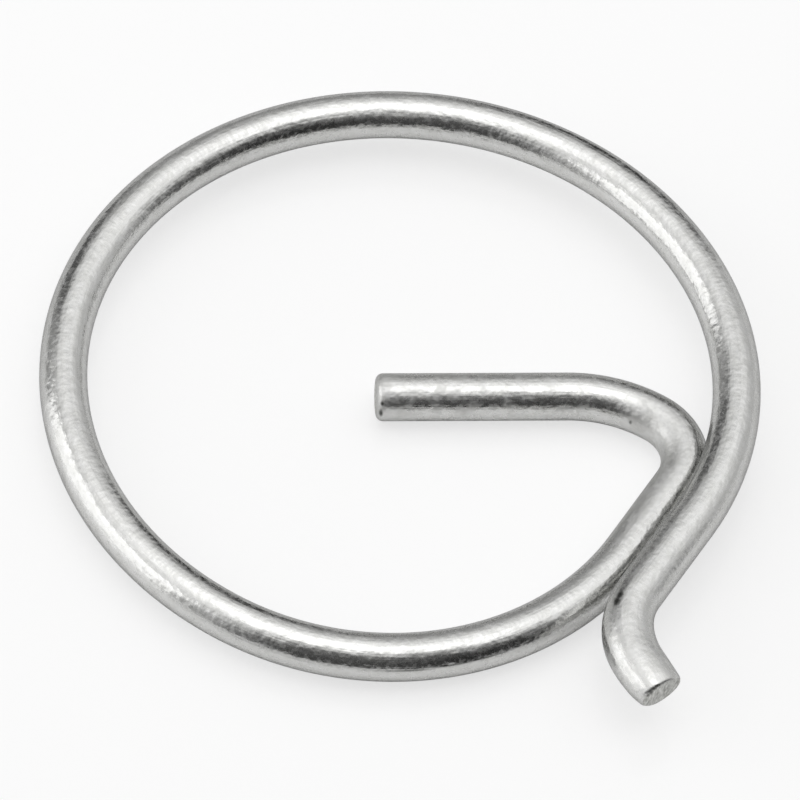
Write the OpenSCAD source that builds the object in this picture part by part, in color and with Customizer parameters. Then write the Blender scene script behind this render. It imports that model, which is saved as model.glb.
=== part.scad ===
// Split ring of round spring wire, bent from one length.
//
// The wire starts as a straight leg inside the ring. A gentle sweep and a tight heel turn it
// back along the ring, it goes once round clockwise, climbing as it goes, passes close outside
// and above the heel, and ends in a short tab that is bent outwards.
//
// The origin is on the leg's axis, abreast of the ring's centre. +X runs along the leg towards
// the heel, and +Z is square to the ring. Every bend radius is to the middle of the wire.

/* [Wire] */
// Diameter of the wire
wire_d = 2; // [1.5:0.05:2.5]
// Rounding of the rim at the leg's free end
leg_rim_round = 0.3; // [0.1:0.05:0.6]

/* [Ring] */
// Outside diameter of the ring
ring_od = 30; // [24:0.5:40]
// Height that the wire climbs in one whole turn
climb = 1.5; // [1:0.05:2]
// Clearance between the end of the turn and the heel that it lies on
strand_gap = 0.05; // [0.02:0.01:0.3]
// Where the wire joins the ring's circle, clockwise from the leg's direction
join_angle = 123; // [105:1:145]
// Where the wire leaves the ring's circle again, clockwise from the leg's direction
leave_angle = 34; // [26:1:44]

/* [Leg and heel] */
// How far the leg's free end reaches past the ring's centre
leg_overrun = 1; // [0:0.1:5]
// How far the leg's axis runs beside the ring's centre
leg_offset = 0.4; // [0:0.1:1.5]
// Radius of the gentle sweep after the leg
sweep_r = 6.2; // [4.5:0.1:8]
// Angle of the gentle sweep
sweep_angle = 36; // [30:1:42]
// Radius of the tight bend at the heel
heel_r = 2.5; // [1.8:0.1:3.2]
// Angle of the tight bend at the heel
heel_angle = 88; // [84:1:106]

/* [Tab] */
// Straight length between the ring's circle and the tab's bend
tab_run = 4.4; // [1:0.1:6]
// Radius of the tab's bend
tab_bend_r = 3.6; // [2:0.1:5]
// Angle that the tab turns outwards
tab_angle = 60; // [40:1:80]
// Length of the tab past its bend
tab_length = 1.6; // [0.8:0.05:4]
// Angle by which the tab's sheared end leans back under its top edge
tab_shear = 10; // [0:1:20]

/* [Hidden] */

$fn = 96;
wire_r = wire_d / 2;
ring_r = (ring_od - wire_d) / 2;

// The turn is a helix, made of equal flat bends with a small roll of the wire between them. Each
// bend is steepest at its middle and a little less steep than the helix where it joins the next.
turn_bends = 4;
bend_angle = (360 - join_angle + leave_angle) / turn_bends;
climb_slope = climb / (2 * PI * ring_r);
roll_per_bend = bend_angle * climb_slope;
joint_slope = roll_per_bend / 2 / tan(bend_angle / 2) * PI / 180;

// The wire's direction past the heel, clockwise from the leg's
back_angle = sweep_angle + heel_angle;

// The heel's centre. The heel's outside runs inside the ring's circle by a distance, inset, that
// depends on how far apart the two strands are in height where they meet.
heel_back = sweep_r - (sweep_r - heel_r) * cos(sweep_angle) + leg_offset;
function heel_x(inset) = sqrt(pow(ring_r - heel_r - inset, 2) - pow(heel_back, 2));
function meet_angle(inset) = atan2(heel_back, heel_x(inset));

// The closing bend lies along the straight past the heel at one end and along the ring's circle
// at the other. back_reach is the distance of that straight from the ring's centre.
closing_angle = join_angle + 90 - back_angle;
function back_reach(inset) = heel_r + heel_x(inset) * sin(back_angle) - heel_back * cos(back_angle);
function closing_radius(inset) =
    (back_reach(inset) - ring_r * cos(closing_angle)) / (1 - cos(closing_angle));

// Height of the end of the turn over the heel where they meet
function meet_height(inset) =
    climb * (360 - join_angle + meet_angle(inset)) / 360
    + joint_slope * closing_radius(inset) * (1 - cos(closing_angle)) / sin(closing_angle);
function inset_under(height) = sqrt(pow(wire_d + strand_gap, 2) - pow(height, 2));

// The height changes the inset and the inset changes the height a little: three rounds settle it.
inset_1 = inset_under(meet_height(wire_d));
inset_2 = inset_under(meet_height(inset_1));
heel_inset = inset_under(meet_height(inset_2));

heel_centre = [heel_x(heel_inset), -heel_back];
closing_r = closing_radius(heel_inset);
leg_length = leg_overrun + heel_centre.x - (sweep_r - heel_r) * sin(sweep_angle);
back_run = (ring_r - closing_r) * cos(join_angle - back_angle)
    - heel_centre.x * cos(back_angle) + heel_centre.y * sin(back_angle);

// Rolling the wire before the closing bend starts the climb, and the roll after it levels it.
slope_angle = atan(joint_slope);
lift_roll = slope_angle / sin(closing_angle);
level_roll = roll_per_bend / 2 - slope_angle / tan(closing_angle);

// The bender's sheet, from the leg's free end to the tab: a straight length to feed, a roll of
// the wire, then the radius and the angle of a bend. A negative angle bends to the right.
sheet = concat(
    [
        [leg_length, 0, sweep_r, -sweep_angle],
        [0, 0, heel_r, -heel_angle],
        [back_run, -lift_roll, closing_r, -closing_angle],
        [0, -level_roll, ring_r, -bend_angle]
    ],
    [for (i = [2:turn_bends]) [0, -roll_per_bend, ring_r, -bend_angle]],
    [[tab_run, 0, tab_bend_r, tab_angle]]
);

// Neighbouring lengths of the wire run into each other by a lap, and their radii differ by a
// hair, so that none of their faces lie on one another. The straights have the wire's radius.
lap = 0.05;
hair = 0.01;
function bend_wire_r(i) = wire_r + (i % 2 == 0 ? -hair : hair);

// Moves along the wire, as matrices: down a straight, a roll about the wire, round a bend
function feed_by(length) = [[1, 0, 0, length], [0, 1, 0, 0], [0, 0, 1, 0], [0, 0, 0, 1]];
function roll_by(angle) =
    [[1, 0, 0, 0], [0, cos(angle), -sin(angle), 0], [0, sin(angle), cos(angle), 0], [0, 0, 0, 1]];
function bend_by(radius, angle) =
    [
        [cos(angle), -sin(angle), 0, radius * sin(abs(angle))],
        [sin(angle), cos(angle), 0, sign(angle) * radius * (1 - cos(angle))],
        [0, 0, 1, 0],
        [0, 0, 0, 1]
    ];

// Where a line of the sheet starts, where its bend starts and where it ends
function line_start(i) = i == 0 ? feed_by(-leg_overrun) : line_end(i - 1);
function bend_start(i) = line_start(i) * feed_by(sheet[i][0]) * roll_by(sheet[i][1]);
function line_end(i) = bend_start(i) * bend_by(sheet[i][2], sheet[i][3]);

// The leg along +X, with the rim of its free end rounded
module leg(length) {
    flat_r = wire_r - leg_rim_round;
    rotate([0, 90, 0]) rotate_extrude() difference() {
        square([wire_r, length + lap]);
        translate([flat_r, 0]) difference() {
            square(leg_rim_round);
            translate([0, leg_rim_round]) circle(r = leg_rim_round);
        }
    }
}

// A straight length of wire along +X
module straight(length) {
    translate([-lap, 0, 0]) rotate([0, 90, 0]) cylinder(h = length + 2 * lap, r = wire_r);
}

// A bend that starts along +X. One to the right is one to the left turned over about the wire.
module bend(radius, angle, thickness_r) {
    lap_angle = atan(lap / radius);
    rotate([angle < 0 ? 180 : 0, 0, 0]) translate([0, radius, 0]) rotate([0, 0, -90 - lap_angle])
        rotate_extrude(angle = abs(angle) + 2 * lap_angle) translate([radius, 0]) circle(r = thickness_r);
}

// The tab past its bend, along +X, cut off at a slant
module tab() {
    overlong = tab_length + wire_d;
    difference() {
        straight(overlong);
        translate([tab_length, 0, 0]) rotate([0, tab_shear, 0])
            translate([0, -wire_d, -overlong]) cube([2 * overlong, 2 * wire_d, 2 * overlong]);
    }
}

module split_ring() {
    last = len(sheet) - 1;
    color("silver") {
        multmatrix(line_start(0)) leg(sheet[0][0]);
        for (i = [1:last]) if (sheet[i][0] > 0) multmatrix(line_start(i)) straight(sheet[i][0]);
        for (i = [0:last]) multmatrix(bend_start(i)) bend(sheet[i][2], sheet[i][3], bend_wire_r(i));
        multmatrix(line_end(last)) tab();
    }
}

split_ring();
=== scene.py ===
import math

import bpy
from mathutils import Matrix, Vector
from mathutils.kdtree import KDTree


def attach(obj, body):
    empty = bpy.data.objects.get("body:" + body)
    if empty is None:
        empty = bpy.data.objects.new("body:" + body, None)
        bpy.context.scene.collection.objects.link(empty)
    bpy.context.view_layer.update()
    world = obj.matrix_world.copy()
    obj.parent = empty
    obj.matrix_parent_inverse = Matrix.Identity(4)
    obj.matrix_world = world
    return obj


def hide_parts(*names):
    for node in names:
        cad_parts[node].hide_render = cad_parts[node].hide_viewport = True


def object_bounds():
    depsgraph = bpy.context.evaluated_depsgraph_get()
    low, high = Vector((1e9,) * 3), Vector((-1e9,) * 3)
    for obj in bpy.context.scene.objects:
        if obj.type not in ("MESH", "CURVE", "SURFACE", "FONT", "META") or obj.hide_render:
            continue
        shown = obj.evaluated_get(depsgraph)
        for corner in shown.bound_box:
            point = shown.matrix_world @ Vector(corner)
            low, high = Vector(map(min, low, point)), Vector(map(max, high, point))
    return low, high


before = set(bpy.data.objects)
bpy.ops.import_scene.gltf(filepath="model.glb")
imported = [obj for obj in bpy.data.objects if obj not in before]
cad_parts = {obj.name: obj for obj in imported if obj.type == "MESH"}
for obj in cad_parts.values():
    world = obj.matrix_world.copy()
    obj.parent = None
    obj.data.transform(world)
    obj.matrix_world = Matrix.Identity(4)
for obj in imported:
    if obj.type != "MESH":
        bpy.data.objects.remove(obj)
cad_lo, cad_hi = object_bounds()

# A split ring of round spring wire, bent from one length: a straight leg, a gentle sweep, a tight
# heel, one turn that climbs as a screw, and a short tab bent outwards at its end.
# Lengths are in metres. Angles are in degrees in the sizes and in the bender's sheet.

MM = 0.001

# The wire and its mesh
WIRE_R = 1.0 * MM
WIRE_SIDES = 72
LOOP_STEP = 0.3 * MM          # between neighbouring loops of the mesh, at most
PLACE_STEP = 0.1 * MM         # between the places noted along the wire's middle
MERGE = 0.002 * MM            # corners nearer than this are merged
CUT_MARGIN = 0.5 * MM         # from the cut to the last loop before it, and to the end that is cut off
SMOOTH_ANGLE = 40             # edges sharper than this stay sharp

# The ring
RING_OD = 30 * MM
RING_R = RING_OD / 2 - WIRE_R  # to the middle of the wire
CLIMB = 1.5 * MM              # of one whole turn
STRAND_GAP = 0.05 * MM        # between the end of the turn and the heel under it
JOIN_ANGLE = 123              # clockwise from the leg, where the wire joins the ring's circle
LEAVE_ANGLE = 34              # and where it leaves the circle
TURN_BENDS = 4                # the screw is made of equal flat bends, with a roll between them
INSET_ROUNDS = 3              # rounds that settle where the heel lies

# The leg and the heel
LEG_OVERRUN = 1 * MM          # of the free end past the ring's centre
LEG_OFFSET = 0.4 * MM         # of the leg's axis from the ring's centre
SWEEP_R = 6.2 * MM
SWEEP_ANGLE = 36
HEEL_R = 2.5 * MM
HEEL_ANGLE = 88
BACK_ANGLE = SWEEP_ANGLE + HEEL_ANGLE         # what the wire has turned by when it leaves the heel
CLOSING_ANGLE = JOIN_ANGLE + 90 - BACK_ANGLE  # of the bend that brings it onto the ring's circle

# The tab
TAB_RUN = 4.4 * MM
TAB_BEND_R = 3.6 * MM
TAB_ANGLE = 60
TAB_LENGTH = 1.6 * MM

# What the cutter did to the tab
PRESS_RUN = 3.2 * MM          # from the start of the tab's bend, until the tab has its pressed shape
TAB_WIDEN = 0.11              # the tab is squeezed wider by this part
TAB_THIN = 0.07               # and thinner by this part
TAB_DRAG = 0.11 * MM          # how far the end's top is dragged down
DRAG_RUN = 1.9 * MM           # over this last length
TAB_TUCK = 0.17 * MM          # how far its inner flank is tucked in
TUCK_RUN = 1.5 * MM           # over this last length
CUT_LEAN = 7                  # lean of the torn face, top edge furthest out
CUT_SKEW = 6                  # turn of the torn face, about the upright
CUT_PROUD = 0.05 * MM         # the torn face stands this far past the tab's length

# The rounded rims at the two ends
TAB_RIM = 0.2 * MM
LEG_RIM = 0.3 * MM
TAB_RIM_STEPS = 4
LEG_RIM_STEPS = 6

# Where the end strand lies on the heel
MEETING_RUN = 30 * MM         # the strands meet within this length of each end of the wire
SHADE_NEAR = 0.04 * MM         # painted shade covers the wire where the other strand is as near as this
SHADE_FADE = 0.13 * MM         # and is gone this much further out


def sin(angle):
    return math.sin(math.radians(angle))


def cos(angle):
    return math.cos(math.radians(angle))


def tan(angle):
    return math.tan(math.radians(angle))


# ---------------------------------------------------------------- how the wire is bent

def heel_inset():
    """How far the heel lies inside the ring's circle, middle line to middle line, where the turn's
    end passes over it. The height there depends on it a little, so it is found in a few rounds."""
    inset = 2 * WIRE_R
    for _ in range(INSET_ROUNDS):
        height = meeting_height(inset)
        inset = math.sqrt((2 * WIRE_R + STRAND_GAP) ** 2 - height ** 2)
    return inset


def heel_centre(inset):
    """Centre of the heel's bend: how far it is along the leg from the ring's centre, and to its side."""
    back = SWEEP_R - (SWEEP_R - HEEL_R) * cos(SWEEP_ANGLE) + LEG_OFFSET
    along = math.sqrt((RING_R - HEEL_R - inset) ** 2 - back ** 2)
    return along, back


def closing_radius(inset):
    """Radius of the bend that brings the wire from the heel's straight onto the ring's circle."""
    along, back = heel_centre(inset)
    reach = HEEL_R + along * sin(BACK_ANGLE) - back * cos(BACK_ANGLE)
    return (reach - RING_R * cos(CLOSING_ANGLE)) / (1 - cos(CLOSING_ANGLE))


def bend_angle():
    """Angle of each flat bend of the screw."""
    return (360 - JOIN_ANGLE + LEAVE_ANGLE) / TURN_BENDS


def roll_per_bend():
    """Roll of the wire between two flat bends, which makes them climb."""
    return bend_angle() * CLIMB / (2 * math.pi * RING_R)


def joint_slope():
    """Slope of the wire where two flat bends meet."""
    return math.radians(roll_per_bend()) / 2 / tan(bend_angle() / 2)


def meeting_height(inset):
    """Height of the turn's end over the heel, where it passes over it."""
    along, back = heel_centre(inset)
    meet_angle = math.degrees(math.atan2(back, along))
    climbed = CLIMB * (360 - JOIN_ANGLE + meet_angle) / 360
    lift = joint_slope() * closing_radius(inset) * (1 - cos(CLOSING_ANGLE)) / sin(CLOSING_ANGLE)
    return climbed + lift


def benders_sheet():
    """Each line is a straight length to feed, a roll of the wire, then the radius and the angle of
    a bend. A negative angle bends to the right."""
    inset = heel_inset()
    along, back = heel_centre(inset)
    closing_r = closing_radius(inset)
    leg_length = LEG_OVERRUN + along - (SWEEP_R - HEEL_R) * sin(SWEEP_ANGLE)
    back_run = ((RING_R - closing_r) * cos(JOIN_ANGLE - BACK_ANGLE)
                - along * cos(BACK_ANGLE) - back * sin(BACK_ANGLE))
    slope_angle = math.degrees(math.atan(joint_slope()))
    lift_roll = slope_angle / sin(CLOSING_ANGLE)
    level_roll = roll_per_bend() / 2 - slope_angle / tan(CLOSING_ANGLE)
    turn = (RING_R, -bend_angle())
    return [
        (leg_length, 0, SWEEP_R, -SWEEP_ANGLE),
        (0, 0, HEEL_R, -HEEL_ANGLE),
        (back_run, -lift_roll, closing_r, -CLOSING_ANGLE),
        (0, -level_roll, *turn),
        *[(0, -roll_per_bend(), *turn) for _ in range(TURN_BENDS - 1)],
        (TAB_RUN, 0, TAB_BEND_R, TAB_ANGLE),
    ]


def fed(length):
    """The step along a straight length of wire."""
    return Matrix.Translation((length, 0, 0))


def rolled(angle):
    """The turn of the wire about its own middle."""
    return Matrix.Rotation(math.radians(angle), 4, "X")


def bent(radius, angle):
    """The step round a bend, to the left for a positive angle."""
    shift = Vector((radius * sin(abs(angle)), math.copysign(radius * (1 - cos(angle)), angle), 0))
    return Matrix.Translation(shift) @ Matrix.Rotation(math.radians(angle), 4, "Z")


# ---------------------------------------------------------------- the wire's mesh

def choose(ob, wanted):
    """Selects the faces of ob that wanted(face) is true for, with edit mode off."""
    for v in ob.data.vertices:
        v.select = False
    for e in ob.data.edges:
        e.select = False
    for f in ob.data.polygons:
        f.select = wanted(f)


def edit(ob, select_mode="FACE"):
    bpy.context.view_layer.objects.active = ob
    bpy.ops.object.mode_set(mode="EDIT")
    bpy.ops.mesh.select_mode(type=select_mode)


def done():
    """Leaves edit mode."""
    bpy.ops.object.mode_set(mode="OBJECT")


def feed_wire(place, length):
    """Draws the open end of the wire on by a straight length, in short steps."""
    steps = max(1, math.ceil(length / LOOP_STEP))
    step = place.to_3x3() @ Vector((length / steps, 0, 0))
    for _ in range(steps):
        bpy.ops.mesh.extrude_region_move(TRANSFORM_OT_translate={"value": step})


def bend_wire(place, radius, angle):
    """Draws the open end of the wire round a bend."""
    steps = math.ceil((radius + WIRE_R) * math.radians(abs(angle)) / LOOP_STEP)
    centre = place @ Vector((0, math.copysign(radius, angle), 0))
    axis = place.to_3x3() @ Vector((0, 0, 1))
    bpy.ops.mesh.spin(steps=steps, dupli=False, angle=-math.radians(angle), center=centre, axis=axis)


def formed_wire():
    """The wire, bent line by line as the sheet says, open at both ends and a little too long. Also
    gives the place where the tab's straight starts."""
    bpy.ops.object.select_all(action="DESELECT")
    bpy.ops.mesh.primitive_circle_add(vertices=WIRE_SIDES, radius=WIRE_R, fill_type="NOTHING",
                                      location=(-LEG_OVERRUN, 0, 0), rotation=(0, math.pi / 2, 0))
    wire = bpy.context.object
    wire.name = wire.data.name = "split_ring_wire"
    bpy.ops.object.transform_apply(location=True, rotation=True, scale=True)
    edit(wire, "EDGE")
    bpy.ops.mesh.select_all(action="SELECT")
    place = fed(-LEG_OVERRUN)
    for length, roll, radius, angle in benders_sheet():
        if length > 0:
            feed_wire(place, length)
        place = place @ fed(length) @ rolled(roll)
        bend_wire(place, radius, angle)
        place = place @ bent(radius, angle)
    feed_wire(place, TAB_LENGTH - CUT_MARGIN)
    overlong = place.to_3x3() @ Vector((WIRE_R + CUT_MARGIN, 0, 0))
    bpy.ops.mesh.extrude_region_move(TRANSFORM_OT_translate={"value": overlong})
    done()
    return wire, place


def middle_line():
    """Places along the middle of the wire, each with its length from the leg's end. Also gives the
    length to the tab's straight."""
    places = []
    place, reached = fed(-LEG_OVERRUN), 0.0
    for length, roll, radius, angle in benders_sheet():
        for k in range(math.ceil(length / PLACE_STEP)):
            places.append((place @ fed(k * PLACE_STEP), reached + k * PLACE_STEP))
        place, reached = place @ fed(length) @ rolled(roll), reached + length
        arc = radius * math.radians(abs(angle))
        steps = math.ceil(arc / PLACE_STEP)
        for k in range(steps):
            places.append((place @ bent(radius, angle * k / steps), reached + arc * k / steps))
        place, reached = place @ bent(radius, angle), reached + arc
    for k in range(math.ceil((TAB_LENGTH + 2 * WIRE_R) / PLACE_STEP)):
        places.append((place @ fed(k * PLACE_STEP), reached + k * PLACE_STEP))
    return places, reached


def corners(wire):
    return [v.co.copy() for v in wire.data.vertices]


def tree_of(points):
    """A tree that finds the nearest of some points."""
    points = list(points)
    tree = KDTree(len(points))
    for i, point in enumerate(points):
        tree.insert(point, i)
    tree.balance()
    return tree


def along_wire(points, places):
    """For each point, the number of the nearest place on the middle line, where the point is from
    there, and how far along the wire it is."""
    middle = tree_of(place.translation for place, _ in places)
    found = []
    for p in points:
        i = middle.find(p)[1]
        place, reached = places[i]
        local = place.inverted() @ p
        found.append((i, local, reached + local.x))
    return found


def smooth_step(x):
    x = min(max(x, 0.0), 1.0)
    return x * x * (3 - 2 * x)


def last_stretch(s, end, run):
    """Grows from 0 at a length run before the end to 1 at the end."""
    return max(0.0, 1 - (end - s) / run) ** 2


def press_tab(wire, places, tab_start, tab_end):
    """The cutter squeezes the tab a little flat towards its end, wider across and thinner in height.
    Over the last stretch it drags the top down and tucks the inner flank in."""
    for v, (i, local, s) in zip(wire.data.vertices, along_wire(corners(wire), places)):
        press = smooth_step((s - tab_start) / PRESS_RUN)
        if press > 0:
            drag = TAB_DRAG * last_stretch(s, tab_end, DRAG_RUN) * (0.5 + 0.5 * local.z / WIRE_R)
            tuck = TAB_TUCK * last_stretch(s, tab_end, TUCK_RUN) * max(0.0, -local.y / WIRE_R)
            shaped = Vector((local.x, local.y * (1 + TAB_WIDEN * press) + tuck,
                             local.z * (1 - TAB_THIN * press) - drag + tuck / 2))
            v.co = places[i][0] @ shaped


def cut_tab(wire, place):
    """Shears the tab off with a leaning cut, which leaves its top edge furthest out, and closes it."""
    point = place @ Vector((TAB_LENGTH + CUT_PROUD, 0, 0))
    normal = place.to_3x3() @ Vector((1, tan(CUT_SKEW), -tan(CUT_LEAN))).normalized()
    edit(wire)
    bpy.ops.mesh.select_all(action="SELECT")
    bpy.ops.mesh.bisect(plane_co=point, plane_no=normal, use_fill=True, clear_outer=True)
    done()
    return point, normal


def close_leg(wire):
    """Closes the leg's free end with a flat face."""
    edit(wire, "EDGE")
    bpy.ops.mesh.select_all(action="DESELECT")
    done()
    end_x, near = -LEG_OVERRUN + 0.01 * MM, 1.1 * WIRE_R
    ends = {v.index for v in wire.data.vertices
            if v.co.x < end_x and abs(v.co.y) < near and abs(v.co.z) < near}
    for e in wire.data.edges:
        e.select = all(i in ends for i in e.vertices)
    edit(wire, "EDGE")
    bpy.ops.mesh.edge_face_add()
    done()


def round_rim(wire, facing, width, steps):
    """Rounds the rim of the flat end that faces one way."""
    choose(wire, lambda f: f.area > WIRE_R ** 2 and f.normal.dot(facing) > 0.99)
    edit(wire)
    bpy.ops.mesh.region_to_loop()
    bpy.ops.mesh.bevel(offset=width, segments=steps, profile=0.5, affect="EDGES")
    done()


def put_unbent_places(wire, places):
    """Gives every corner of the mesh its place on the straight, unbent wire: where it is round the
    wire, and how far along, in millimetres. The grain and draw lines in the finish follow it."""
    points = corners(wire)
    unbent = wire.data.attributes.new("unbent", "FLOAT_VECTOR", "POINT")
    for v, (_, local, s) in zip(unbent.data, along_wire(points, places)):
        v.vector = (local.y / MM, local.z / MM, s / MM)


def paint_groove_shade(wire, places):
    """Marks where the end strand lies on the heel: the nearer the other strand, the darker the shade
    painted into the finish there."""
    last_run = places[-1][1] - MEETING_RUN
    heel_line = tree_of(place.translation for place, s in places if s < MEETING_RUN)
    strand_line = tree_of(place.translation for place, s in places if s > last_run)
    groove_shade = wire.data.attributes.new("groove_shade", "FLOAT", "POINT")
    points = corners(wire)
    for mark, point, (_, _, s) in zip(groove_shade.data, points, along_wire(points, places)):
        if s < MEETING_RUN or s > last_run:
            other_line = strand_line if s < MEETING_RUN else heel_line
            gap = other_line.find(point)[2] - WIRE_R
            mark.value = 1.0 - smooth_step((gap - SHADE_NEAR) / SHADE_FADE)


def mark_cut_faces(wire, point, normal):
    """Marks the two flat faces where the wire was cut off, which have many corners, and the inner half
    of the tab's rim, which tore with its face."""
    reach = 1.6 * WIRE_R
    sheared = wire.data.attributes.new("sheared", "FLOAT", "FACE")
    for face, mark in zip(wire.data.polygons, sheared.data):
        is_torn_rim = (face.center - point).length < reach and face.normal.dot(normal) > 0.7
        is_flat_end = len(face.vertices) > WIRE_SIDES / 2
        mark.value = 1.0 if is_torn_rim or is_flat_end else 0.0


def build_wire():
    """The whole wire, and how far along it the tab's bend starts and the tab ends."""
    wire, tab_place = formed_wire()
    places, tab_straight = middle_line()
    tab_start = tab_straight - TAB_BEND_R * math.radians(TAB_ANGLE)
    tab_end = tab_straight + TAB_LENGTH
    press_tab(wire, places, tab_start, tab_end)
    point, normal = cut_tab(wire, tab_place)
    close_leg(wire)
    edit(wire)
    bpy.ops.mesh.select_all(action="SELECT")
    bpy.ops.mesh.remove_doubles(threshold=MERGE)
    bpy.ops.mesh.normals_make_consistent(inside=False)
    done()
    round_rim(wire, Vector((-1, 0, 0)), LEG_RIM, LEG_RIM_STEPS)
    round_rim(wire, normal, TAB_RIM, TAB_RIM_STEPS)
    put_unbent_places(wire, places)
    paint_groove_shade(wire, places)
    mark_cut_faces(wire, point, normal)
    bpy.ops.object.select_all(action="DESELECT")
    wire.select_set(True)
    bpy.context.view_layer.objects.active = wire
    bpy.ops.object.shade_smooth_by_angle(angle=math.radians(SMOOTH_ANGLE))
    wire.select_set(False)
    return wire, tab_start, tab_end


# ---------------------------------------------------------------- the wire's finish

# Relief, in millimetres from the lowest to the highest
GRAIN_RELIEF = 0.018
DRAW_LINE_RELIEF = 0.007
CHATTER_RELIEF = 0.004
WAVE_RELIEF = 0.035
TORN_RELIEF = 0.05

# Roughness of the bare wire, and what wear adds to it
BARE_ROUGHNESS = 0.18
SPOT_ROUGHNESS = 0.13
SCUFF_ROUGHNESS = 0.16
LEG_END_ROUGHNESS = 0.12
HEEL_ROUGHNESS = 0.26
TAB_ROUGHNESS = 0.09
CUT_ROUGHNESS = 0.2

# Levels of a noise between which its spots, patches or tones fade in
SPOT_EDGE = (0.46, 0.64)
PATCH_EDGE = (0.44, 0.6)
TONE_EDGE = (0.35, 0.65)

# Where the wear starts and stops, in millimetres along the wire from the leg's end
LEG_END_WEAR = (0.7, 2.0)
SCUFF_WEAR_ENDS = (6.0, 11.0)
HEEL_WEAR_STARTS = (9.8, 11.8)
HEEL_WEAR_ENDS = (18.0, 22.0)
HEEL_INNER_SIDE = (-0.3, 0.5)           # across the wire
TAB_WEAR_STARTS = (-4.0, 2.0)           # from the start of the tab's bend

# Colours
EDGE_TINT = (0.52, 0.52, 0.52)          # of the metal where it is seen at a slant
STEEL_DARK, STEEL_LIGHT = (0.60, 0.60, 0.585), (0.64, 0.64, 0.63)
TORN_DARK, TORN_LIGHT = (0.42, 0.42, 0.40), (0.78, 0.78, 0.76)
# Painted shade in the groove where the end strand lies on the heel.
GROOVE_SHADE, GROOVE_SHADE_SHARE = (0.07, 0.07, 0.065), 0.6
# Black of the painted shadows, the speck and the scored lines; the deep share is for the painted
# shadows.
MARK_AND_SHADOW_BLACK, DEEP_SHADOW_SHARE, SHALLOW_SHARE = (0.04, 0.042, 0.036), 0.9, 0.65
MARK_FADE = (0.2, 1.0)                  # parts of a mark's size over which it fades out

# Dark marks, each as its middle and its size in millimetres: across the wire, over it and along it.
# Along the wire they count from the leg's end, if nothing else is said.
# Painted shade in the gap where the end strand parts from the heel's strand, near black.
TAB_BEND_GAP_SHADE = [                        # counted from the start of the tab's bend
    ((-0.53, 0.83, 0.97), (0.21, 0.21, 0.29)),
    ((-0.585, 0.805, 1.25), (0.22, 0.22, 0.31)),
]
# Painted shadows of the burr at the rim of the leg's end.
LEG_END_BURR_SHADOWS = [
    ((-0.77, 0.59, 0.2), (0.15, 0.15, 0.11)),
    ((-0.92, 0.16, 0.16), (0.2, 0.3, 0.13)),
]
# A dark speck on the wire's inner side.
SWEEP_SPECK = [
    ((-0.94, 0.3, 11.1), (0.15, 0.15, 0.12)),
]
DIE_SCORE = [
    ((0.93, 0.367, 31.2), (0.065, 0.065, 1.6)),
    ((0.903, 0.431, 29.5), (0.065, 0.065, 1.5)),
    ((0.887, 0.462, 28.1), (0.065, 0.065, 1.5)),
]
# Painted shadow of the burr along the torn rim at the tab's end.
TAB_END_BURR_SHADOW = [                           # counted from the tab's end
    ((-0.67, 0.40, 0.16), (0.17, 0.17, 0.11)),
    ((-0.54, 0.55, 0.15), (0.17, 0.17, 0.11)),
    ((-0.39, 0.67, 0.13), (0.17, 0.15, 0.10)),
    ((-0.2, 0.74, 0.1), (0.17, 0.12, 0.08)),
]


def node(tree, kind, **settings):
    made = tree.nodes.new(kind)
    for name, value in settings.items():
        setattr(made, name, value)
    return made


def link(tree, source, target):
    tree.links.new(source, target)


def attribute(tree, name, output="Fac"):
    return node(tree, "ShaderNodeAttribute", attribute_name=name).outputs[output]


def noise(tree, place, stretch, scale, detail, rough=0.5):
    """A noise that follows the unbent wire. stretch scales it across, over and along the wire."""
    mapped = node(tree, "ShaderNodeMapping", vector_type="POINT")
    mapped.inputs["Scale"].default_value = stretch
    link(tree, place, mapped.inputs["Vector"])
    made = node(tree, "ShaderNodeTexNoise")
    made.inputs["Scale"].default_value = scale
    made.inputs["Detail"].default_value = detail
    made.inputs["Roughness"].default_value = rough
    link(tree, mapped.outputs["Vector"], made.inputs["Vector"])
    return made.outputs["Fac"]


def mapped_range(tree, value, ends, levels, interpolation="SMOOTHSTEP"):
    """Goes from the first level to the second while the value goes from one end to the other."""
    made = node(tree, "ShaderNodeMapRange", interpolation_type=interpolation)
    for name, number in zip(("From Min", "From Max", "To Min", "To Max"), (*ends, *levels)):
        made.inputs[name].default_value = number
    link(tree, value, made.inputs["Value"])
    return made.outputs["Result"]


def rising(tree, value, ends):
    return mapped_range(tree, value, ends, (0.0, 1.0))


def falling(tree, value, ends):
    return mapped_range(tree, value, ends, (1.0, 0.0))


def maths(tree, operation, a, b):
    made = node(tree, "ShaderNodeMath", operation=operation)
    for socket, value in zip(made.inputs, (a, b)):
        if isinstance(value, (int, float)):
            socket.default_value = value
        else:
            link(tree, value, socket)
    return made.outputs[0]


def times(tree, a, b):
    return maths(tree, "MULTIPLY", a, b)


def added(tree, *shares):
    """The sum of some outputs, each given as (output, number) and multiplied by its number."""
    total = 0.0
    for output, number in shares:
        total = maths(tree, "ADD", times(tree, output, number), total)
    return total


def mixed_colour(tree, share, first, second):
    """From the first colour to the second by a share. Either may be an output of another node."""
    made = node(tree, "ShaderNodeMix", data_type="RGBA")
    link(tree, share, made.inputs[0])
    for socket, value in ((made.inputs[6], first), (made.inputs[7], second)):
        if isinstance(value, tuple):
            socket.default_value = (*value, 1)
        else:
            link(tree, value, socket)
    return made.outputs[2]


def vector_maths(tree, operation, vector, constant=None):
    made = node(tree, "ShaderNodeVectorMath", operation=operation)
    link(tree, vector, made.inputs[0])
    if constant:
        made.inputs[1].default_value = constant
    return made.outputs["Value" if operation == "LENGTH" else "Vector"]


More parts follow.
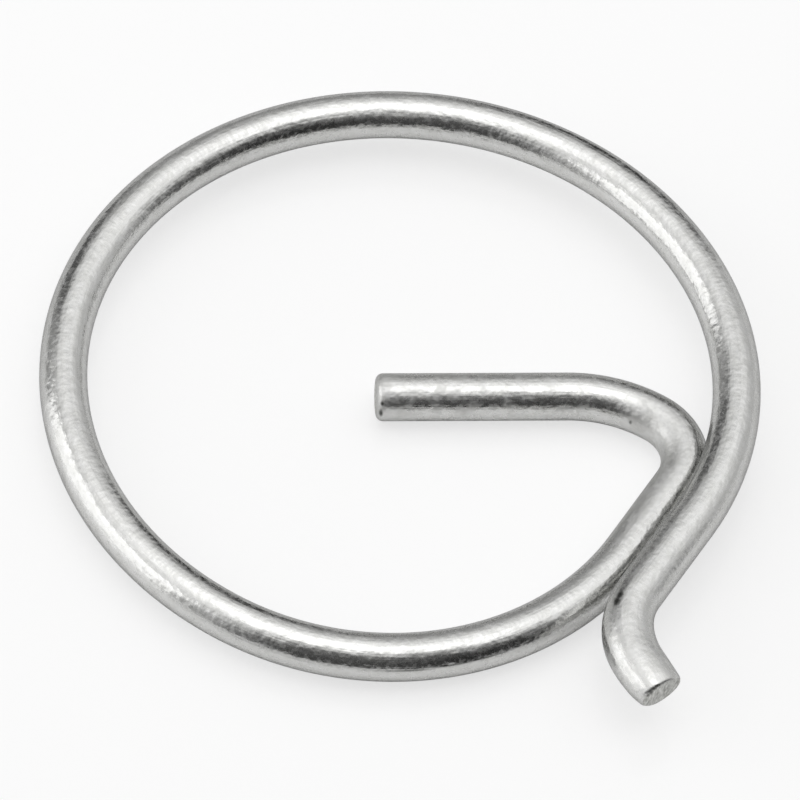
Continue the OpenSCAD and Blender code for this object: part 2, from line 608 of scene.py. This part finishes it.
def scores_and_painted_shadows(tree, place, marks_and_shadows):
    """Small dark marks, lines a die scored and painted shadows alike: 1 in the middle of each, and 0
    outside it."""
    total = 0.0
    for middle, size in marks_and_shadows:
        offset = vector_maths(tree, "SUBTRACT", place, middle)
        away = vector_maths(tree, "LENGTH", vector_maths(tree, "DIVIDE", offset, size))
        total = maths(tree, "MAXIMUM", falling(tree, away, MARK_FADE), total)
    return total


def counted_from(start, marks_and_shadows):
    """The same marks, further along the wire by start."""
    return [((x, y, start / MM + along), size) for (x, y, along), size in marks_and_shadows]


def wire_relief(tree, place, torn, is_cut):
    """Soft grain, faint draw lines, chatter across the wire and slow waves, and the torn faces."""
    grain = noise(tree, place, stretch=(1, 1, 0.85), scale=4.0, detail=1.0)
    lines = noise(tree, place, stretch=(1, 1, 0.03), scale=8.0, detail=1.0)
    chatter = noise(tree, place, stretch=(0.15, 0.15, 1), scale=6.0, detail=1.0)
    waves = noise(tree, place, stretch=(1, 1, 0.5), scale=1.2, detail=1.0)
    height = added(tree, (grain, GRAIN_RELIEF), (lines, DRAW_LINE_RELIEF), (chatter, CHATTER_RELIEF),
                   (waves, WAVE_RELIEF), (times(tree, torn, is_cut), TORN_RELIEF))
    bump = node(tree, "ShaderNodeBump")
    bump.inputs["Strength"].default_value = 1.0
    bump.inputs["Distance"].default_value = MM
    link(tree, height, bump.inputs["Height"])
    return bump.outputs["Normal"]


def wire_roughness(tree, place, is_cut, tab_start):
    """Small dull spots all over, scuffs on the leg, and duller stretches where the tools held it."""
    parts = node(tree, "ShaderNodeSeparateXYZ")
    link(tree, place, parts.inputs[0])
    across, along = parts.outputs["X"], parts.outputs["Z"]
    fine = noise(tree, place, stretch=(1, 1, 0.8), scale=5.0, detail=1.5, rough=0.55)
    coarse = noise(tree, place, stretch=(0.7, 0.7, 1), scale=1.3, detail=2.0, rough=0.6)
    spots = rising(tree, fine, SPOT_EDGE)
    patches = rising(tree, coarse, PATCH_EDGE)
    scuffs = times(tree, falling(tree, along, SCUFF_WEAR_ENDS), patches)
    leg_end = falling(tree, along, LEG_END_WEAR)
    heel = times(tree, rising(tree, along, HEEL_WEAR_STARTS), falling(tree, along, HEEL_WEAR_ENDS))
    heel_inside = times(tree, heel, falling(tree, across, HEEL_INNER_SIDE))
    tab = rising(tree, along, [tab_start / MM + end for end in TAB_WEAR_STARTS])
    worn = added(tree, (spots, SPOT_ROUGHNESS), (scuffs, SCUFF_ROUGHNESS), (leg_end, LEG_END_ROUGHNESS),
                 (heel_inside, HEEL_ROUGHNESS), (tab, TAB_ROUGHNESS), (is_cut, CUT_ROUGHNESS))
    return maths(tree, "ADD", worn, BARE_ROUGHNESS)


def wire_colour(tree, place, torn, is_cut, tab_start, tab_end):
    """Pale steel with a slow change of tone, painted shade between the strands, blotchy torn faces,
    scored lines, a dark speck and painted burr shadows.
    """
    tone = rising(tree, noise(tree, place, stretch=(1, 1, 0.6), scale=3.0, detail=2.0), TONE_EDGE)
    steel = mixed_colour(tree, tone, STEEL_DARK, STEEL_LIGHT)
    # Painted shade in the groove, darker where the other strand is nearer.
    shade_in_groove = times(tree, attribute(tree, "groove_shade"), GROOVE_SHADE_SHARE)
    shaded_steel = mixed_colour(tree, shade_in_groove, steel, GROOVE_SHADE)
    blotches = mapped_range(tree, torn, TONE_EDGE, (0.0, 1.0), "LINEAR")
    torn_steel = mixed_colour(tree, blotches, TORN_DARK, TORN_LIGHT)
    colour = mixed_colour(tree, is_cut, shaded_steel, torn_steel)
    # Painted shadows at the burrs and in the gap between the strands, a dark speck and the die's scored
    # lines.
    painted_deep_shadows = scores_and_painted_shadows(tree, place, counted_from(tab_start, TAB_BEND_GAP_SHADE) + LEG_END_BURR_SHADOWS)
    faint_marks_and_shadow = scores_and_painted_shadows(tree, place, SWEEP_SPECK + DIE_SCORE + counted_from(tab_end, TAB_END_BURR_SHADOW))
    marks_and_shadows = maths(tree, "MAXIMUM", times(tree, painted_deep_shadows, DEEP_SHADOW_SHARE), times(tree, faint_marks_and_shadow, SHALLOW_SHARE))
    return mixed_colour(tree, marks_and_shadows, colour, MARK_AND_SHADOW_BLACK)


def bright_wire(tab_start, tab_end):
    """Bright drawn steel wire, worn where tools held it, with painted shade where the other strand
    lies on it and painted burr shadows, and duller, torn faces where it was cut off."""
    mat = bpy.data.materials.new("bright_drawn_wire")
    mat.use_nodes = True
    tree = mat.node_tree
    shader = tree.nodes["Principled BSDF"]
    shader.inputs["Metallic"].default_value = 1.0
    shader.inputs["Specular Tint"].default_value = (*EDGE_TINT, 1)
    place = attribute(tree, "unbent", "Vector")
    is_cut = attribute(tree, "sheared")
    torn = noise(tree, place, stretch=(1.6, 0.5, 1), scale=6.0, detail=3.0, rough=0.6)
    link(tree, wire_relief(tree, place, torn, is_cut), shader.inputs["Normal"])
    link(tree, wire_roughness(tree, place, is_cut, tab_start), shader.inputs["Roughness"])
    colour = wire_colour(tree, place, torn, is_cut, tab_start, tab_end)
    link(tree, colour, shader.inputs["Base Color"])
    return mat


# ---------------------------------------------------------------- floor, light and camera

FLOOR_SIZE = 6.0
FLOOR_WHITE = (0.98, 0.98, 0.98)
FLOOR_ROUGHNESS = 0.15
SEEN_GLOW = 0.65              # share of plain white in the floor as the camera sees it
MIRRORED_GLOW = 0.2           # and as the metal mirrors it

CARD_BLACK = (0.03, 0.03, 0.03)
CARD_GRID = (40, 24)

DOME_LOW = 0.35               # strength of the dome at the horizon
DOME_RISE = 1.4               # and what it gains towards the top
DOME_POWER = 3.0
DOME_CAP = 0.4                # a brighter patch right overhead
DOME_CAP_ENDS = (0.93, 0.99)

CAMERA_AZIMUTH = -8.26
CAMERA_ELEVATION = 52.92
CAMERA_ROLL = 6.36
CAMERA_DISTANCE = 390 * MM
CAMERA_LENS = 421.6           # in millimetres, over a sensor of SENSOR_WIDTH
SENSOR_WIDTH = 36.0
CAMERA_AIM = (0.0387 * MM, -0.437 * MM)  # to the right and up in its view, from the leg's axis


def shown_mix(tree, share, first, second):
    """Puts a mix of two shaders on the surface, from the first to the second by a share."""
    mix = node(tree, "ShaderNodeMixShader")
    link(tree, share, mix.inputs["Fac"])
    link(tree, first.outputs[0], mix.inputs[1])
    link(tree, second.outputs[0], mix.inputs[2])
    link(tree, mix.outputs[0], tree.nodes["Material Output"].inputs["Surface"])


def studio_floor():
    bpy.ops.object.select_all(action="DESELECT")
    bpy.ops.mesh.primitive_plane_add(size=FLOOR_SIZE, location=(0, 0, cad_lo.z))
    floor = bpy.context.object
    floor.name = "studio_floor"
    mat = bpy.data.materials.new("pale_floor")
    mat.use_nodes = True
    tree = mat.node_tree
    shader = tree.nodes["Principled BSDF"]
    shader.inputs["Base Color"].default_value = (*FLOOR_WHITE, 1)
    shader.inputs["Roughness"].default_value = FLOOR_ROUGHNESS
    glow = node(tree, "ShaderNodeEmission")
    glow.inputs["Strength"].default_value = 1.0
    rays = node(tree, "ShaderNodeLightPath")
    mirrored = maths(tree, "MAXIMUM", rays.outputs["Is Glossy Ray"], rays.outputs["Is Transmission Ray"])
    share = maths(tree, "MAXIMUM", times(tree, rays.outputs["Is Camera Ray"], SEEN_GLOW),
                  times(tree, mirrored, MIRRORED_GLOW))
    shown_mix(tree, share, shader, glow)
    floor.data.materials.append(mat)


def direction(azimuth, elevation):
    """From the ring towards a place round it. Azimuth 0 is the front, -Y, and 90 is +X."""
    return Vector((sin(azimuth) * cos(elevation), -cos(azimuth) * cos(elevation), sin(elevation)))


def card_cloth(name):
    """Matt black, clear where the card's cover is 0."""
    mat = bpy.data.materials.new(name)
    mat.use_nodes = True
    tree = mat.node_tree
    shader = tree.nodes["Principled BSDF"]
    shader.inputs["Base Color"].default_value = (*CARD_BLACK, 1)
    shader.inputs["Roughness"].default_value = 1.0
    shader.inputs["Specular IOR Level"].default_value = 0.0
    shown_mix(tree, attribute(tree, "cover"), node(tree, "ShaderNodeBsdfTransparent"), shader)
    return mat


def soft_card(name, azimuths, elevations, fade, depth, distance):
    """A dark card, bent round the ring, that lies outside the camera's view and puts a dark band
    into the metal. It spans from one azimuth and elevation to the other, and fades out towards its
    upright edges and its top by so many degrees. depth is its cover where it is darkest."""
    bpy.ops.object.select_all(action="DESELECT")
    bpy.ops.mesh.primitive_grid_add(x_subdivisions=CARD_GRID[0], y_subdivisions=CARD_GRID[1], size=1.0)
    card = bpy.context.object
    card.name = name
    cover = card.data.attributes.new("cover", "FLOAT", "POINT")
    for v, c in zip(card.data.vertices, cover.data):
        azimuth = azimuths[0] + (azimuths[1] - azimuths[0]) * (v.co.x + 0.5)
        elevation = elevations[0] + (elevations[1] - elevations[0]) * (v.co.y + 0.5)
        side = smooth_step(min(azimuth - azimuths[0], azimuths[1] - azimuth) / fade[0])
        c.value = depth * side * smooth_step((elevations[1] - elevation) / fade[1])
        v.co = direction(azimuth, elevation) * distance
    card.data.materials.append(card_cloth(name))
    card.visible_camera = False


def put_in_scene(name, data):
    ob = bpy.data.objects.new(name, data)
    bpy.context.scene.collection.objects.link(ob)
    return ob


def soft_box(name, azimuth, elevation, width, height, distance, level):
    """A soft box whose face is level times as bright as plain white."""
    away = direction(azimuth, elevation)
    lamp = bpy.data.lights.new(name, "AREA")
    lamp.shape = "RECTANGLE"
    lamp.size = width
    lamp.size_y = height
    lamp.energy = level * math.pi * width * height
    ob = put_in_scene(name, lamp)
    ob.location = away * distance
    ob.rotation_euler = away.to_track_quat("Z", "Y").to_euler()


def soft_dome():
    """A soft dome of light, brightest overhead."""
    world = bpy.data.worlds.new("soft_dome")
    bpy.context.scene.world = world
    world.use_nodes = True
    tree = world.node_tree
    back = tree.nodes["Background"]
    back.inputs["Color"].default_value = (1, 1, 1, 1)
    place = node(tree, "ShaderNodeTexCoord")
    parts = node(tree, "ShaderNodeSeparateXYZ")
    link(tree, place.outputs["Generated"], parts.inputs[0])
    up = maths(tree, "MAXIMUM", parts.outputs["Z"], 0.0)
    rise = times(tree, maths(tree, "POWER", up, DOME_POWER), DOME_RISE)
    cap = mapped_range(tree, up, DOME_CAP_ENDS, (0.0, DOME_CAP))
    level = maths(tree, "ADD", maths(tree, "ADD", rise, DOME_LOW), cap)
    link(tree, level, back.inputs["Strength"])


def camera():
    cam = bpy.data.cameras.new("camera")
    cam.sensor_width = SENSOR_WIDTH
    cam.lens = CAMERA_LENS
    cam.clip_start, cam.clip_end = 0.01, 100.0
    ob = put_in_scene("camera", cam)
    away = direction(CAMERA_AZIMUTH, CAMERA_ELEVATION)
    roll = Matrix.Rotation(math.radians(CAMERA_ROLL), 3, "Z")
    turn = away.to_track_quat("Z", "Y").to_matrix() @ roll
    aim = Vector((0, LEG_OFFSET, 0)) + turn @ Vector((*CAMERA_AIM, 0))
    ob.matrix_world = Matrix.Translation(aim + away * CAMERA_DISTANCE) @ turn.to_4x4()
    bpy.context.scene.camera = ob


wire, tab_start, tab_end = build_wire()
wire.data.materials.append(bright_wire(tab_start, tab_end))
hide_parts("split_ring")
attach(wire, "root")

studio_floor()
soft_dome()
soft_box("left_box", azimuth=-92, elevation=21, width=0.64, height=0.47, distance=0.6, level=1.0)
soft_box("left_glow", azimuth=-82, elevation=22, width=0.9, height=0.6, distance=0.62, level=0.17)
soft_box("right_box", azimuth=112, elevation=27, width=0.8, height=0.62, distance=0.6, level=0.29)
soft_card("front_card", azimuths=(-60, 74), elevations=(-1, 88), fade=(35, 46), depth=0.84, distance=0.5)
soft_card("front_low_card", azimuths=(6, 94), elevations=(-1, 56), fade=(18, 36), depth=0.7,
          distance=0.45)
soft_card("back_card_left", azimuths=(-163, -135), elevations=(2, 42), fade=(11, 14), depth=0.77,
          distance=0.5)
soft_card("back_card_right", azimuths=(143, 174), elevations=(-1, 31), fade=(11, 22), depth=1.0,
          distance=0.5)
camera()
bpy.context.scene.view_settings.view_transform = "Standard"
